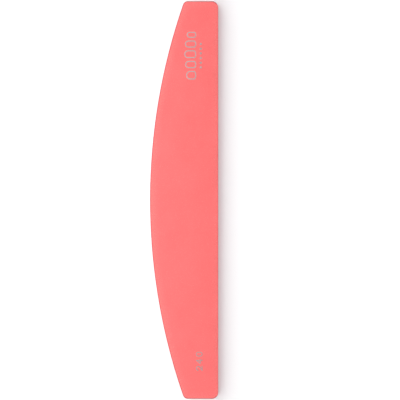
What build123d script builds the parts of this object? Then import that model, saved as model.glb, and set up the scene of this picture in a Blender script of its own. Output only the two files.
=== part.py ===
from build123d import *
from math import asin, atan2, degrees, hypot
import os

# A half-moon nail buffer board: a stiff plastic core with a foam cushion and an
# abrasive sheet bonded to each side.  All sizes are in millimetres.
#
# The board lies flat with its printed face up (+Z) and its long axis along Y.
# Its straight edge, the spine, is at +X, and its bowed edge is at -X.  The
# origin is the middle of the outline's box, on the surface the board rests on.

# Outline: one die cuts through every layer.
LENGTH = 178.0                  # over both square ends
WIDTH = 30.5                    # from the spine to the middle of the bow
END_WIDTH = 15.2                # along each square end, corners unrounded
SPINE_CORNER_RADIUS = 2.8
BOW_CORNER_RADIUS = 2.3
FOAM_RECESS = 0.12              # cut foam springs back from the cut line

# Thickness of each kind of layer.
CORE_THICKNESS = 1.0
FOAM_THICKNESS = 1.3
ADHESIVE_THICKNESS = 0.08
BACKING_THICKNESS = 0.20
GRIT_THICKNESS = 0.06

# Foil print on the upper face, set out from the spine and from the ends.
PRINT_THICKNESS = 0.03
EMBLEM_FROM_END = 24.4          # middle of the emblem to the +Y end
NAIL_WIDTHS = [3.9, 3.3, 3.5, 3.2, 2.7]
NAIL_HEIGHTS = [4.6, 5.0, 5.4, 5.1, 4.3]
NAIL_GAP = 1.2
NAIL_STROKE = 0.5
CUTICLE_RISE = 0.7              # how far a nail's sides start above its root
NAIL_ROOTS_FROM_SPINE = 9.8
DOT_COUNT = 6
DOT_DIAMETER = 1.1
DOT_PITCH = 2.1
DOTS_FROM_SPINE = 7.8
NUMBER_FROM_END = 16.8          # middle of the grit number to the -Y end
NUMBER_FROM_SPINE = 8.5
DIGIT_HEIGHT = 3.0
DIGIT_WIDTH = 2.2
DIGIT_STROKE = 0.45
DIGIT_GAP = 1.0

# The stack from the bottom up: node name, thickness, recess from the cut line.
STACK = [
    ("lower_grit_coat", GRIT_THICKNESS, 0),
    ("lower_backing_film", BACKING_THICKNESS, 0),
    ("lower_film_adhesive", ADHESIVE_THICKNESS, 0),
    ("lower_foam_pad", FOAM_THICKNESS, FOAM_RECESS),
    ("lower_core_adhesive", ADHESIVE_THICKNESS, 0),
    ("core_board", CORE_THICKNESS, 0),
    ("upper_core_adhesive", ADHESIVE_THICKNESS, 0),
    ("upper_foam_pad", FOAM_THICKNESS, FOAM_RECESS),
    ("upper_film_adhesive", ADHESIVE_THICKNESS, 0),
    ("upper_backing_film", BACKING_THICKNESS, 0),
    ("upper_grit_coat", GRIT_THICKNESS, 0),
]
BOARD_THICKNESS = sum(thickness for name, thickness, recess in STACK)


def half_moon(recess: float) -> Sketch:
    """The board's outline, set in from the cut line by recess."""
    spine_x = WIDTH / 2
    end_x = spine_x - END_WIDTH
    end_y = LENGTH / 2
    with BuildSketch() as profile:
        with BuildLine():
            Polyline((end_x, -end_y), (spine_x, -end_y), (spine_x, end_y), (end_x, end_y))
            ThreePointArc((end_x, end_y), (-WIDTH / 2, 0), (end_x, -end_y))
        make_face()
        fillet(profile.vertices().group_by(Axis.X)[-1], SPINE_CORNER_RADIUS)
        fillet(profile.vertices().group_by(Axis.X)[0], BOW_CORNER_RADIUS)
        if recess:
            offset(amount=-recess)
    return profile.sketch


def nail_outline(width: float, height: float) -> Sketch:
    """A fingernail seen face on, as a line of even stroke, its root at y = 0."""
    side = width / 2
    shoulder = height - side
    with BuildSketch() as nail:
        with BuildLine():
            ThreePointArc((-side, CUTICLE_RISE), (0, 0), (side, CUTICLE_RISE))
            Line((side, CUTICLE_RISE), (side, shoulder))
            ThreePointArc((side, shoulder), (0, height), (-side, shoulder))
            Line((-side, shoulder), (-side, CUTICLE_RISE))
        make_face()
        offset(amount=-NAIL_STROKE, mode=Mode.SUBTRACT)
    return nail.sketch


# Each digit is drawn along the middle of its strokes, centred on its own box.
REACH = (DIGIT_WIDTH - DIGIT_STROKE) / 2
RISE = (DIGIT_HEIGHT - DIGIT_STROKE) / 2


def digit_two() -> Sketch:
    """A hook over the top that runs straight down to the left end of the foot."""
    hook_y = RISE - REACH
    drop = hook_y + RISE
    slant = degrees(atan2(drop, REACH) - asin(REACH / hypot(REACH, drop)))
    with BuildSketch() as digit:
        with BuildLine():
            hook = CenterArc((0, hook_y), REACH, 180, slant - 270)
            Line(hook @ 1, (-REACH, -RISE))
        trace(line_width=DIGIT_STROKE)
        with BuildLine():
            Line((-DIGIT_WIDTH / 2, -RISE), (DIGIT_WIDTH / 2, -RISE))
        trace(line_width=DIGIT_STROKE)
    return digit.sketch


def digit_four() -> Sketch:
    """An upright stem, with a slant down to a bar that crosses it."""
    stem_x = REACH / 2
    bar_y = -RISE / 3
    strokes = [
        ((stem_x, -DIGIT_HEIGHT / 2), (stem_x, DIGIT_HEIGHT / 2)),
        ((stem_x, RISE), (-REACH, bar_y)),
        ((-DIGIT_WIDTH / 2, bar_y), (DIGIT_WIDTH / 2, bar_y)),
    ]
    with BuildSketch() as digit:
        for start, end in strokes:
            with BuildLine():
                Line(start, end)
            trace(line_width=DIGIT_STROKE)
    return digit.sketch


def digit_zero() -> Sketch:
    """A tall ring with straight sides."""
    inside = 2 * DIGIT_STROKE
    with BuildSketch() as digit:
        SlotOverall(DIGIT_HEIGHT, DIGIT_WIDTH, rotation=90)
        SlotOverall(DIGIT_HEIGHT - inside, DIGIT_WIDTH - inside, rotation=90, mode=Mode.SUBTRACT)
    return digit.sketch


def print_plane(from_spine: float, along: float) -> Plane:
    """Plane on the upper face whose x runs towards +Y, so print reads along the board."""
    place = (WIDTH / 2 - from_spine, along, BOARD_THICKNESS)
    return Plane(origin=place, x_dir=(0, 1, 0), z_dir=(0, 0, 1))


def save(piece: BuildPart, name: str):
    """Labels a finished piece and writes it under its node's name."""
    piece.part.label = name
    export_step(piece.part, f"parts/{name}.step")


os.makedirs("parts", exist_ok=True)

# The laminate, one layer on top of the last.
height_so_far = 0
for name, thickness, recess in STACK:
    with BuildPart() as layer:
        with BuildSketch(Plane.XY.offset(height_so_far)):
            add(half_moon(recess))
        extrude(amount=thickness)
    save(layer, name)
    height_so_far += thickness

# A row of five fingernails near the +Y end, roots towards the spine.
emblem_y = LENGTH / 2 - EMBLEM_FROM_END
emblem_length = sum(NAIL_WIDTHS) + NAIL_GAP * (len(NAIL_WIDTHS) - 1)
with BuildPart() as emblem_nails_print:
    with BuildSketch(print_plane(NAIL_ROOTS_FROM_SPINE, emblem_y)):
        start = -emblem_length / 2
        for width, height in zip(NAIL_WIDTHS, NAIL_HEIGHTS):
            with Locations((start + width / 2, 0)):
                add(nail_outline(width, height))
            start += width + NAIL_GAP
    extrude(amount=PRINT_THICKNESS)
save(emblem_nails_print, "emblem_nails_print")

# A row of dots beneath the fingernails.
with BuildPart() as emblem_dots_print:
    with BuildSketch(print_plane(DOTS_FROM_SPINE, emblem_y)):
        with GridLocations(DOT_PITCH, 0, DOT_COUNT, 1):
            Circle(DOT_DIAMETER / 2)
    extrude(amount=PRINT_THICKNESS)
save(emblem_dots_print, "emblem_dots_print")

# The grit number near the -Y end, in line with the emblem.
digits = [digit_two(), digit_four(), digit_zero()]
digit_pitch = DIGIT_WIDTH + DIGIT_GAP
middle_digit = (len(digits) - 1) / 2
with BuildPart() as grit_number_print:
    with BuildSketch(print_plane(NUMBER_FROM_SPINE, NUMBER_FROM_END - LENGTH / 2)):
        for place, digit in enumerate(digits):
            with Locations(((place - middle_digit) * digit_pitch, 0)):
                add(digit)
    extrude(amount=PRINT_THICKNESS)
save(grit_number_print, "grit_number_print")

print("board thickness", round(BOARD_THICKNESS, 3))
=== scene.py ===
import math

import bpy
import numpy as np
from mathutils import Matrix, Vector, noise


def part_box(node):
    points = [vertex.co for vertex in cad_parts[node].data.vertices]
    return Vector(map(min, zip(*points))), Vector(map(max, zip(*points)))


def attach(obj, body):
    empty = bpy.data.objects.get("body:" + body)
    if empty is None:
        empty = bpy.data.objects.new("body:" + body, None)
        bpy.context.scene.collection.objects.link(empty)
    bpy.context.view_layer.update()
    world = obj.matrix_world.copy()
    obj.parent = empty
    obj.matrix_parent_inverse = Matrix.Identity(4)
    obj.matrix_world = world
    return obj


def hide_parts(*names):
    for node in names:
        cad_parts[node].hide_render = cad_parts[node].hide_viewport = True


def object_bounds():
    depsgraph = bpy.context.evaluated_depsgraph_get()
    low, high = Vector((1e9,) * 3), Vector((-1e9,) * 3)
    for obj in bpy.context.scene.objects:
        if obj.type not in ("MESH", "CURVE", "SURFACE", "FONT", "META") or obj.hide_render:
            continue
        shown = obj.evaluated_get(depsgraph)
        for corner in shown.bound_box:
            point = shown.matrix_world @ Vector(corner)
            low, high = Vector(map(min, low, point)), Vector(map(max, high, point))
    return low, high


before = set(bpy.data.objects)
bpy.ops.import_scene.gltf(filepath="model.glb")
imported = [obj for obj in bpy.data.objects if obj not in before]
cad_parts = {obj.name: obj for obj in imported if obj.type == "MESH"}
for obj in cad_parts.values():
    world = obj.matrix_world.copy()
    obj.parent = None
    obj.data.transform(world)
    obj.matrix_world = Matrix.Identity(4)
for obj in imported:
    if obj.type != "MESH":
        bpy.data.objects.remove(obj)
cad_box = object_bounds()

MM = 0.001
SIDES = ("lower", "upper")


# ---- Camera ------------------------------------------------------------------

LENS = 100                      # a long lens, so that the board's side hardly shows
SENSOR = 36
PICTURE_TO_BOARD = 1.0058       # the board fills nearly the whole height
CAMERA_ASIDE = 7.1 * MM         # the board lies a little left of the middle


def overhead_camera():
    """A camera straight above the board, with the board's long axis upright."""
    low, high = cad_box
    picture = (high.y - low.y) * PICTURE_TO_BOARD
    data = bpy.data.cameras.new("overhead_camera")
    data.lens, data.sensor_width = LENS, SENSOR
    camera = bpy.data.objects.new("overhead_camera", data)
    camera.location = (CAMERA_ASIDE, 0, high.z + picture * LENS / SENSOR)
    bpy.context.scene.collection.objects.link(camera)
    bpy.context.scene.camera = camera


# ---- The die-cut outline -----------------------------------------------------

class HalfMoon:
    """The board's outline, measured on the core: a straight spine at +X, one long
    arc for the bow at -X, square ends and rounded corners. All in metres. The two
    halves are alike, so it is worked out for one end only."""

    ON_END = 0.001 * MM         # points this near to the end are on it
    CLEAR_OF_CORNERS = 0.9      # this much of each half has no corner in it

    def __init__(self, core):
        x, y = np.array([v.co[:2] for v in core.data.vertices]).T
        y = np.abs(y)
        self.spine, self.end = x.max(), y.max()
        on_end = x[y > self.end - self.ON_END]
        self.spine_corner = self.spine - on_end.max()
        # The bow is a circle centred on the X axis, fitted to its own points.
        bow = (x < 0) & (y < self.CLEAR_OF_CORNERS * self.end)
        terms = np.stack([2 * x[bow], np.ones(bow.sum())], 1)
        self.centre, rest = np.linalg.lstsq(terms, x[bow]**2 + y[bow]**2, rcond=None)[0]
        self.bow = math.sqrt(rest + self.centre**2)
        # Each bow corner is a circle that touches the end and the bow from inside.
        self.corner_x = on_end.min()
        reach = self.bow**2 - (self.centre - self.corner_x)**2 - self.end**2
        self.bow_corner = reach / (2 * (self.bow - self.end))
        self.corner_y = self.end - self.bow_corner

    def inside(self, x, y):
        """How far each point is from the cut edge."""
        y = np.abs(y)
        far = np.minimum(self.spine - x, self.end - y)
        far = np.minimum(far, self.bow - np.hypot(x - self.centre, y))
        past_x = x - (self.spine - self.spine_corner)
        past_y = y - (self.end - self.spine_corner)
        rounded = self.spine_corner - np.hypot(past_x, past_y)
        far = np.where((past_x > 0) & (past_y > 0), rounded, far)
        past_x, past_y = x - self.corner_x, y - self.corner_y
        turned = past_x * self.corner_y - past_y * (self.corner_x - self.centre)
        rounded = self.bow_corner - np.hypot(past_x, past_y)
        return np.where((past_x < 0) & (turned > 0), rounded, far)

    def rows(self, recess, pitch, corner_steps=18):
        """Places along Y, evenly spaced on the straight and by angle in the corners."""
        start = self.end - self.spine_corner
        turn = np.linspace(0, math.pi / 2, corner_steps + 1)
        rounded = start + (self.spine_corner - recess) * np.sin(turn)
        straight = np.linspace(0, start, round(start / pitch) + 1)
        half = np.concatenate([straight, rounded[1:]])
        return np.concatenate([-half[:0:-1], half])

    def edges(self, y, recess):
        """X of the bow and of the spine at each y, on the outline set in by recess."""
        y = np.abs(y)
        bow = self.bow - recess
        bow_x = self.centre - np.sqrt(bow**2 - y**2)
        lean = math.atan2(self.corner_y, self.centre - self.corner_x)
        corner = np.clip((self.bow_corner - recess)**2 - (y - self.corner_y)**2, 0, None)
        bow_x = np.where(y > bow * math.sin(lean), self.corner_x - np.sqrt(corner), bow_x)
        start = self.end - self.spine_corner
        corner = (self.spine_corner - recess)**2 - np.clip(y - start, 0, None)**2
        spine_x = self.spine - self.spine_corner + np.sqrt(np.clip(corner, 0, None))
        return bow_x, spine_x


outline = HalfMoon(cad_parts["core_board"])


# ---- How the laminate is squeezed at its cut edge ----------------------------

CROWN_DROP, CROWN_REACH = 0.15 * MM, 3.4 * MM     # soft rounding of the face
RIM_DROP, RIM_REACH = 0.06 * MM, 0.32 * MM        # where the die pinched it
RIPPLE, RIPPLE_SIZE = 0.012 * MM, 3.2 * MM        # waviness of sheet on foam

foam_faces = [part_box(f"{side}_foam_pad")[end].z for side in SIDES for end in (0, 1)]


def ripple(x, y):
    """Waviness of the abrasive sheet, from 0 to RIPPLE below flat."""
    spots = zip((x / RIPPLE_SIZE).ravel(), (y / RIPPLE_SIZE).ravel())
    wave = np.array([noise.noise(Vector((u, v, 0.5))) for u, v in spots])
    return RIPPLE * (0.5 + 0.5 * wave.clip(-1, 1)).reshape(x.shape)


def settle(x, y, z):
    """Height of a point of the flat stack once it is cut: the foam gives, so all
    that lies outside it sinks towards the core near the edge."""
    inside = outline.inside(x, y)
    drop = CROWN_DROP * (1 - inside / CROWN_REACH).clip(0, 1)**2
    drop += RIM_DROP * (1 - inside / RIM_REACH).clip(0, 1)**2 + ripple(x, y)
    return z - drop * np.interp(z, foam_faces, (-1, 0, 0, 1))


# ---- Layer meshes ------------------------------------------------------------

# A mesh's columns near each long edge, by their distance from it in millimetres.
FINE_MARGIN = (0, 0.03, 0.07, 0.12, 0.19, 0.28, 0.42, 0.62, 0.9, 1.2, 1.6, 2.1, 2.7, 3.4)
PLAIN_MARGIN = (0, 0.12, 0.28, 0.42, 0.9, 1.6, 2.5, 3.4)

# How far apart its rows are along Y, and how many more columns lie between the margins.
PLAIN_PITCH, PLAIN_MIDDLE = 1.2 * MM, 6
GRIT_PITCH, GRIT_MIDDLE = 0.7 * MM, 29
FOAM_PITCH, FOAM_MIDDLE = 0.3 * MM, 8

CREASE = math.radians(35)       # edges that turn more than this stay crisp


def face_grid(recess, pitch, margin, middle):
    """Points (x, y) over the outline set in by recess, in rows along Y. Columns are
    at the margin's distances from both long edges, with more between them."""
    y = outline.rows(recess, pitch)
    bow_x, spine_x = outline.edges(y, recess)
    margin = np.array(margin) * MM
    left = bow_x[:, None] + margin
    right = spine_x[:, None] - margin[::-1]
    share = np.linspace(0, 1, middle + 2)[1:-1]
    between = left[:, -1:] + (right[:, :1] - left[:, -1:]) * share
    x = np.hstack([left, between, right])
    return x, np.repeat(y[:, None], x.shape[1], 1)


def rim_of(grid):
    """A grid's outer points in order, anticlockwise from its first."""
    return np.concatenate([grid[0], grid[1:, -1], grid[-1, -2::-1], grid[-2:0:-1, 0]])


def inward(x, y):
    """Unit directions into the outline at the points of a closed anticlockwise rim."""
    along_x, along_y = np.roll(x, -1) - np.roll(x, 1), np.roll(y, -1) - np.roll(y, 1)
    length = np.hypot(along_x, along_y)
    return -along_y / length, along_x / length


def layer(node, material, recesses, pitch=PLAIN_PITCH, margin=PLAIN_MARGIN, middle=PLAIN_MIDDLE,
          pits=None):
    """A layer of the laminate as a closed mesh. recesses gives the side's profile: how
    far it lies in from the cut line at even steps from the bottom to the top. pits
    moves each point of the side further in, from its (x, y, z)."""
    low, high = (corner.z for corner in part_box(node))
    heights = np.linspace(low, high, len(recesses))
    x, y = face_grid(recesses[0], pitch, margin, middle)
    index = np.arange(x.size).reshape(x.shape)
    points = [np.stack([x, y, settle(x, y, np.full(x.shape, low))], 2).reshape(-1, 3)]
    below = rim_of(index)
    walls = []
    count = x.size
    for recess, height in zip(recesses[1:-1], heights[1:-1]):
        x, y = (rim_of(v) for v in face_grid(recess, pitch, margin, middle))
        z = settle(x, y, np.full(x.shape, height))
        if pits:
            in_x, in_y = inward(x, y)
            depth = pits(x, y, z)
            x, y = x + in_x * depth, y + in_y * depth
        points.append(np.stack([x, y, z], 1))
        above = count + np.arange(len(x))
        walls.append((below, above))
        below, count = above, count + len(x)
    x, y = face_grid(recesses[-1], pitch, margin, middle)
    points.append(np.stack([x, y, settle(x, y, np.full(x.shape, high))], 2).reshape(-1, 3))
    walls.append((below, count + rim_of(index)))
    quads = np.stack([index[:-1, :-1], index[:-1, 1:], index[1:, 1:], index[1:, :-1]], 2)
    quads = quads.reshape(-1, 4)
    faces = [quads[:, ::-1], quads + count]
    faces += [np.stack([a, np.roll(a, -1), np.roll(b, -1), b], 1) for a, b in walls]
    points = np.concatenate(points)
    mesh = bpy.data.meshes.new(f"die_cut_{node}")
    mesh.from_pydata(points.tolist(), [], np.concatenate(faces).tolist())
    mesh.set_sharp_from_angle(angle=CREASE)
    inside = outline.inside(points[:, 0], points[:, 1]).astype(np.float32)
    mesh.attributes.new("from_edge", "FLOAT", "POINT").data.foreach_set("value", inside)
    mesh.materials.append(material)
    piece = bpy.data.objects.new(mesh.name, mesh)
    bpy.context.scene.collection.objects.link(piece)
    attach(piece, "root")
    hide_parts(node)
    return piece


# ---- Finishes ----------------------------------------------------------------

class Wire:
    """An output of a node. Arithmetic on wires adds the Math nodes for it."""

    def __init__(self, finish, socket):
        self.finish, self.socket = finish, socket

    def maths(self, operation, *values):
        return self.finish.node("ShaderNodeMath", {"operation": operation}, dict(enumerate(values)))

    def __add__(self, other):
        return self.maths("ADD", self, other)

    def __sub__(self, other):
        return self.maths("SUBTRACT", self, other)

    def __rsub__(self, other):
        return self.maths("SUBTRACT", other, self)

    def __mul__(self, other):
        return self.maths("MULTIPLY", self, other)

    __radd__, __rmul__ = __add__, __mul__

    def __abs__(self):
        return self.maths("ABSOLUTE", self)

    def rise(self, start, end):
        """0 up to start, 1 from end, and smooth between them."""
        between = {"Value": self, "From Min": start, "From Max": end}
        return self.finish.node("ShaderNodeMapRange", {"interpolation_type": "SMOOTHSTEP"}, between)


class Finish:
    """A material on the bench, with the few patterns that the pieces share."""

    def __init__(self, name):
        self.material = bpy.data.materials.new(name)
        self.material.use_nodes = True
        self.tree = self.material.node_tree
        self.shader = self.tree.nodes["Principled BSDF"]
        self.place = self.node("ShaderNodeTexCoord", out="Object")

    def feed(self, socket, value):
        if isinstance(value, Wire):
            self.tree.links.new(value.socket, socket)
        elif socket.type == "RGBA":
            socket.default_value = (*value, 1)
        else:
            socket.default_value = value

    def node(self, kind, settings=None, sockets=None, out=0):
        """Adds any node: its settings first, then its sockets' values or wires."""
        new = self.tree.nodes.new(kind)
        for name, value in (settings or {}).items():
            setattr(new, name, value)
        for name, value in (sockets or {}).items():
            self.feed(new.inputs[name], value)
        return Wire(self, new.outputs[out])

    def mix(self, share, first, second):
        """first, turning into second as share goes from 0 to 1."""
        sockets = {0: share, 6: first, 7: second}
        return self.node("ShaderNodeMix", {"data_type": "RGBA"}, sockets, out=2)

    def shade(self, colour, strength):
        """A colour made brighter or darker."""
        return self.node("ShaderNodeVectorMath", {"operation": "SCALE"}, {0: colour, "Scale": strength})

    def stretched(self, x, y, z):
        """The place with each direction's pattern stretched that many times."""
        sockets = {0: self.place, 1: (1 / x, 1 / y, 1 / z)}
        return self.node("ShaderNodeVectorMath", {"operation": "MULTIPLY"}, sockets)

    def clouds(self, size, detail=2, place=None):
        """Soft noise from 0 to 1 whose blotches are about size across."""
        sockets = {"Vector": place or self.place, "Scale": 1 / size, "Detail": detail}
        return self.node("ShaderNodeTexNoise", None, sockets)

    def grains(self, size, out="Distance"):
        """Packed grains of that size: the distance from each one's middle, or its colour."""
        return self.node("ShaderNodeTexVoronoi", None, {"Vector": self.place, "Scale": 1 / size}, out)

    def along(self, axis):
        """The place along X, Y or Z, in metres."""
        return self.node("ShaderNodeSeparateXYZ", None, {0: self.place}, out=axis)

    def from_edge(self):
        """Distance from the cut edge, in metres."""
        return self.node("ShaderNodeAttribute", {"attribute_name": "from_edge"}, out="Fac")

    def relief(self, height, depth, strength=1):
        """Fine relief: height from 0 to 1, depth in metres."""
        bump = {"Height": height, "Distance": depth, "Strength": strength}
        self.feed(self.shader.inputs["Normal"], self.node("ShaderNodeBump", None, bump))

    def surface(self, colour, roughness, **others):
        """Feeds the shader and hands the material over. In the names of the others, an
        underscore stands for a space."""
        self.feed(self.shader.inputs["Base Color"], colour)
        self.feed(self.shader.inputs["Roughness"], roughness)
        for name, value in others.items():
            self.feed(self.shader.inputs[name.replace("_", " ")], value)
        return self.material


GRAIN_SIZE, GRAIN_RELIEF = 0.14 * MM, 0.035 * MM

# Wear with a painted highlight, and crushed resin with painted edge shade, fade out between these
# distances from the cut.
WEAR_AND_HIGHLIGHT_BAND = 0.2 * MM, 4 * MM
CRUSH_AND_SHADE_BAND = 0.23 * MM, 0.47 * MM
DARK_RIM_WAVER = 0.06 * MM         # how much the width of the dark band along the cut wavers
SPINE_SPARED = 0.25 * MM        # how much narrower that band is along the spine,
SPARED_FROM, SPARED_FULLY = 1.1 * MM, 0.5 * MM      # from the first of these distances to the second

CORAL = (0.96, 0.156, 0.154)
# Dark coral along the cut: crushed resin, darkened further with painted edge shade. Thin foil also lets
# it show through.
DEEP_CORAL = (0.46, 0.050, 0.052)
BARE_GRAIN = (0.95, 0.50, 0.47)
BACKING_PINK = (0.80, 0.27, 0.26)
TAPE_CREAM = (0.80, 0.76, 0.66)
FOAM_CORAL = (0.93, 0.15, 0.22)
# painted shade in the foam's cut-open cells
FOAM_PIT_SHADE = (0.60, 0.11, 0.11)
CORE_WHITE = (0.83, 0.83, 0.81)
CORE_BRUISE = (0.70, 0.70, 0.69)
FOIL_SILVER = (0.47, 0.375, 0.37)

# How thin each print's foil is, from 0, full silver, to 1. The finer prints are set thinner.
FOIL_THINNESS = {"emblem_nails_print": 0.04, "emblem_dots_print": 0.20, "grit_number_print": 0.24}


def grit_relief(finish, clumps):
    """Packed grain on a slightly lumpy sheet. Returns how near each grain's top is."""
    tops = 1 - finish.grains(GRAIN_SIZE).rise(0.12, 0.52)
    finish.relief(0.65 * tops + 0.35 * clumps, GRAIN_RELIEF)
    return tops


def coral_grit():
    """Fine abrasive in coral resin: packed grain with a few bare tops, in loose clumps.
    It is paler near the edges, partly from wear and partly as a painted highlight, and darker
    along the cut, partly from resin crushed smooth and partly as painted edge shade, though
    hardly at the spine. The gaps between the grains are darkened with painted shade."""
    finish = Finish("coral_grit")
    drift = finish.clouds(9 * MM)
    clumps = finish.clouds(0.8 * MM, detail=3)
    tops = grit_relief(finish, clumps)
    each = finish.node("ShaderNodeSeparateColor", None, {0: finish.grains(GRAIN_SIZE, "Color")})
    # the tops term darkens the gaps between the grains with painted shade; the other terms are random
    # tone
    colour = finish.shade(CORAL, 0.84 + 0.17 * drift + 0.05 * clumps + 0.08 * tops + 0.07 * each)
    inside = finish.from_edge()
    # paler near the edges: partly wear, partly a painted highlight on the edge
    edge_wear_and_highlight = (1 - inside.rise(*WEAR_AND_HIGHLIGHT_BAND)) * (0.5 + clumps)
    colour = finish.mix((0.55 * each.rise(0.88, 0.97) + 0.36 * edge_wear_and_highlight) * tops, colour, BARE_GRAIN)
    at_spine = finish.along("X").rise(outline.spine - SPARED_FROM, outline.spine - SPARED_FULLY)
    uneven = inside + DARK_RIM_WAVER * clumps + SPINE_SPARED * at_spine
    # darker along the cut: partly crushed resin, partly painted edge shade, less of it at the spine
    crushed_and_shaded = 1 - uneven.rise(*CRUSH_AND_SHADE_BAND)
    colour = finish.mix(crushed_and_shaded, colour, DEEP_CORAL)
    return finish.surface(colour, 0.82 - 0.10 * clumps - 0.25 * crushed_and_shaded)


def pink_backing():
    """Latex-filled paper, seen only as a hairline: short fibres along the board."""
    finish = Finish("pink_backing")
    fibres = finish.clouds(0.09 * MM, detail=3, place=finish.stretched(1, 9, 1))
    finish.relief(fibres, 0.012 * MM)
    return finish.surface(finish.shade(BACKING_PINK, 0.84 + 0.32 * fibres), 0.78)


def cream_tape():
    """Clear acrylic tape with a faint yellow cast and a wavering edge."""
    finish = Finish("cream_tape")
    waver = finish.clouds(0.5 * MM, detail=3)
    finish.relief(waver, 0.02 * MM)
    return finish.surface(finish.shade(TAPE_CREAM, 0.85 + 0.3 * waver), 0.30)


def coral_foam():
    """Closed-cell foam: cells of two sizes, cut open along the side into pits, with painted shade
    darkening their hollows.
    """
    finish = Finish("coral_foam")
    large = finish.grains(0.30 * MM)
    small = finish.grains(0.15 * MM)
    cloud = finish.clouds(2.5 * MM)
    # dark in the cells' hollows: painted shade
    pits = (1 - large.rise(0.12, 0.40)) * (0.35 + 0.6 * cloud)
    colour = finish.mix(pits + 0.35 * (1 - small.rise(0.10, 0.45)), FOAM_CORAL, FOAM_PIT_SHADE)
    finish.relief(0.65 * large.rise(0.10, 0.45) + 0.35 * small, 0.08 * MM)
    return finish.surface(colour, 0.92)


def white_core():
    """Polystyrene sheet: fine shear marks run up its cut side, greyer where it is bruised."""
    finish = Finish("white_core")
    marks = finish.clouds(0.10 * MM, detail=4, place=finish.stretched(1, 1, 14))
    bruises = finish.clouds(1.6 * MM)
    colour = finish.mix((marks * bruises).rise(0.20, 0.42), CORE_WHITE, CORE_BRUISE)
    finish.relief(marks, 0.02 * MM, 0.7)
    return finish.surface(colour, 0.34 + 0.22 * marks)


def silver_foil(name, thinness):
    """Dull hot-stamped foil that lies over the grain and breaks on its peaks. The
    thinner it is, the more of the pressed resin shows through."""
    finish = Finish(name)
    clumps = finish.clouds(0.5 * MM, detail=3)
    tops = grit_relief(finish, clumps)
    breaks = (tops * clumps).rise(0.48, 0.60)
    silver = finish.mix(thinness, FOIL_SILVER, DEEP_CORAL)
    colour = finish.mix(0.7 * breaks, finish.shade(silver, 0.85 + 0.3 * clumps), CORAL)
    return finish.surface(colour, 0.40 + 0.12 * clumps, Metallic=0.65 - 0.5 * breaks)


# ---- The board ---------------------------------------------------------------

# How far each kind of side lies in from the cut line.
GRIT_BEVEL = 0.015 * MM         # the grit coat, at its outer face
TAPE_RECESS = 0.03 * MM
CORE_SIDE = [0.02 * MM, 0, 0, 0, 0.01 * MM, 0.03 * MM]      # rounded by the shear, most at the top
FOAM_LIP = 0.06 * MM            # the foam, at its two faces
FOAM_WAIST = 0.13 * MM          # and how much further in it draws between them
FOAM_RINGS = 9
FOAM_SIDE = [FOAM_LIP + FOAM_WAIST * math.sin(math.pi * t) for t in np.linspace(0, 1, FOAM_RINGS)]

PIT_SIZE, PIT_DEPTH = 0.42 * MM, 0.07 * MM
PIT_REACH = 0.5                 # a pit's rim is this many times PIT_SIZE from its middle


def straight(recess):
    """A side profile that is as far in at the top as at the bottom."""
    return [recess, recess]


def foam_pits(x, y, z):
    """Depth of the cut-open cells along the foam's side."""
    spots = (Vector(p) / PIT_SIZE for p in zip(x, y, z))
    near = np.array([noise.voronoi(spot)[0][0] for spot in spots])
    return PIT_DEPTH * (1 - near / PIT_REACH).clip(0, 1)


def build_board():
    """Every layer in its finish, from both sides in to the core, and foil on the prints."""
    grit, backing, tape = coral_grit(), pink_backing(), cream_tape()
    foam, core = coral_foam(), white_core()
    for side in SIDES:
        bevel = [0, GRIT_BEVEL] if side == "upper" else [GRIT_BEVEL, 0]
        layer(f"{side}_grit_coat", grit, bevel, GRIT_PITCH, FINE_MARGIN, GRIT_MIDDLE)
        layer(f"{side}_backing_film", backing, straight(0))
        layer(f"{side}_film_adhesive", tape, straight(TAPE_RECESS))
        layer(f"{side}_core_adhesive", tape, straight(TAPE_RECESS))
        pad = layer(f"{side}_foam_pad", foam, FOAM_SIDE, FOAM_PITCH, PLAIN_MARGIN,
                    FOAM_MIDDLE, foam_pits)
    layer("core_board", core, CORE_SIDE)
    for node, thinness in FOIL_THINNESS.items():
        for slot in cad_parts[node].material_slots:
            slot.material = silver_foil(f"{node}_foil", thinness)


# ---- Studio ------------------------------------------------------------------

# The sweep: flat out to FLOOR_RADIUS, then curved up to the wall's top, in metres.
HUB_RADIUS, FLOOR_RADIUS, WALL_RADIUS, WALL_HEIGHT = 0.02, 0.55, 0.95, 0.42
SPOKES, CURVE_STEPS = 96, 24
FLOOR_GAP = 0.01 * MM           # the floor is this far below the board

FLOOR_WHITE = 0.76
FLOOR_GLOW = 0.187, 0.175, 0.184    # how much the floor shines by itself near the board: painted light, faintly pink to tint the shadow like light bounced off the coral board
GLOW_RISE = 0.40                    # how much more it shines away from the board
GLOW_ASIDE = 0.010, 0.060           # the rise is between these distances from the middle in X
GLOW_PAST_ENDS = 0.092, 0.190       # or between these in Y

# Each softbox's place, size and power.
BOW_SIDE_SOFTBOX = (-0.058, 0, 0.075), (0.095, 0.50), 0.262
CEILING_SOFTBOX = (-0.02, 0, 0.60), (0.30, 0.40), 0.67
ROOM_LIGHT = 0.27


def sweep_paper():
    """White paper that shines by itself, and more away from the board, which cuts the
    outer part of the shadow short."""
    finish = Finish("sweep_paper")
    near_x = 1 - abs(finish.along("X")).rise(*GLOW_ASIDE)
    near_y = 1 - abs(finish.along("Y")).rise(*GLOW_PAST_ENDS)
    rise = finish.shade((1, 1, 1), GLOW_RISE * (1 - near_x * near_y))
    glow = finish.node("ShaderNodeVectorMath", {"operation": "ADD"}, {0: FLOOR_GLOW, 1: rise})
    return finish.surface((FLOOR_WHITE,) * 3, 1.0, Emission_Color=glow, Emission_Strength=1)


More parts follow.
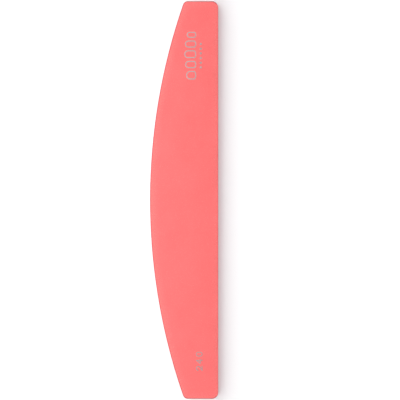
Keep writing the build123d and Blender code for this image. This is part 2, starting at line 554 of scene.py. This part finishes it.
def white_sweep():
    """A round white floor that curves up into a low wall, so every side view is plain."""
    profile = [(HUB_RADIUS, 0), (FLOOR_RADIUS / 2, 0), (FLOOR_RADIUS, 0)]
    for turn in np.linspace(0, math.pi / 2, CURVE_STEPS + 1)[1:]:
        out = FLOOR_RADIUS + (WALL_RADIUS - FLOOR_RADIUS) * math.sin(turn)
        profile.append((out, WALL_HEIGHT * (1 - math.cos(turn))))
    angles = np.linspace(0, 2 * math.pi, SPOKES, endpoint=False)
    points = [(0, 0, -FLOOR_GAP)]
    points += [(r * math.cos(a), r * math.sin(a), z - FLOOR_GAP) for r, z in profile for a in angles]
    faces = [(0, 1 + k, 1 + (k + 1) % SPOKES) for k in range(SPOKES)]
    for ring in range(len(profile) - 1):
        a, b = 1 + ring * SPOKES, 1 + (ring + 1) * SPOKES
        faces += [(a + k, b + k, b + (k + 1) % SPOKES, a + (k + 1) % SPOKES) for k in range(SPOKES)]
    mesh = bpy.data.meshes.new("white_sweep")
    mesh.from_pydata(points, [], faces)
    mesh.shade_smooth()
    mesh.materials.append(sweep_paper())
    sweep = bpy.data.objects.new("white_sweep", mesh)
    bpy.context.scene.collection.objects.link(sweep)


def softbox(name, place, size, power):
    """A rectangular soft light that faces the board, its second side along Y."""
    data = bpy.data.lights.new(name, "AREA")
    data.shape, data.energy = "RECTANGLE", power
    data.size, data.size_y = size
    light = bpy.data.objects.new(name, data)
    light.location = place
    light.rotation_mode = "QUATERNION"
    light.rotation_quaternion = (-Vector(place)).to_track_quat("-Z", "X")
    light.visible_camera = False
    bpy.context.scene.collection.objects.link(light)


def light_studio():
    """A long softbox close by on the bow's side, another high above, and a white room."""
    softbox("bow_side_softbox", *BOW_SIDE_SOFTBOX)
    softbox("ceiling_softbox", *CEILING_SOFTBOX)
    world = bpy.data.worlds.new("room")
    world.use_nodes = True
    background = world.node_tree.nodes["Background"]
    background.inputs["Color"].default_value = (1, 1, 1, 1)
    background.inputs["Strength"].default_value = ROOM_LIGHT
    bpy.context.scene.world = world
    bpy.context.scene.view_settings.view_transform = "Standard"


overhead_camera()
build_board()
white_sweep()
light_studio()
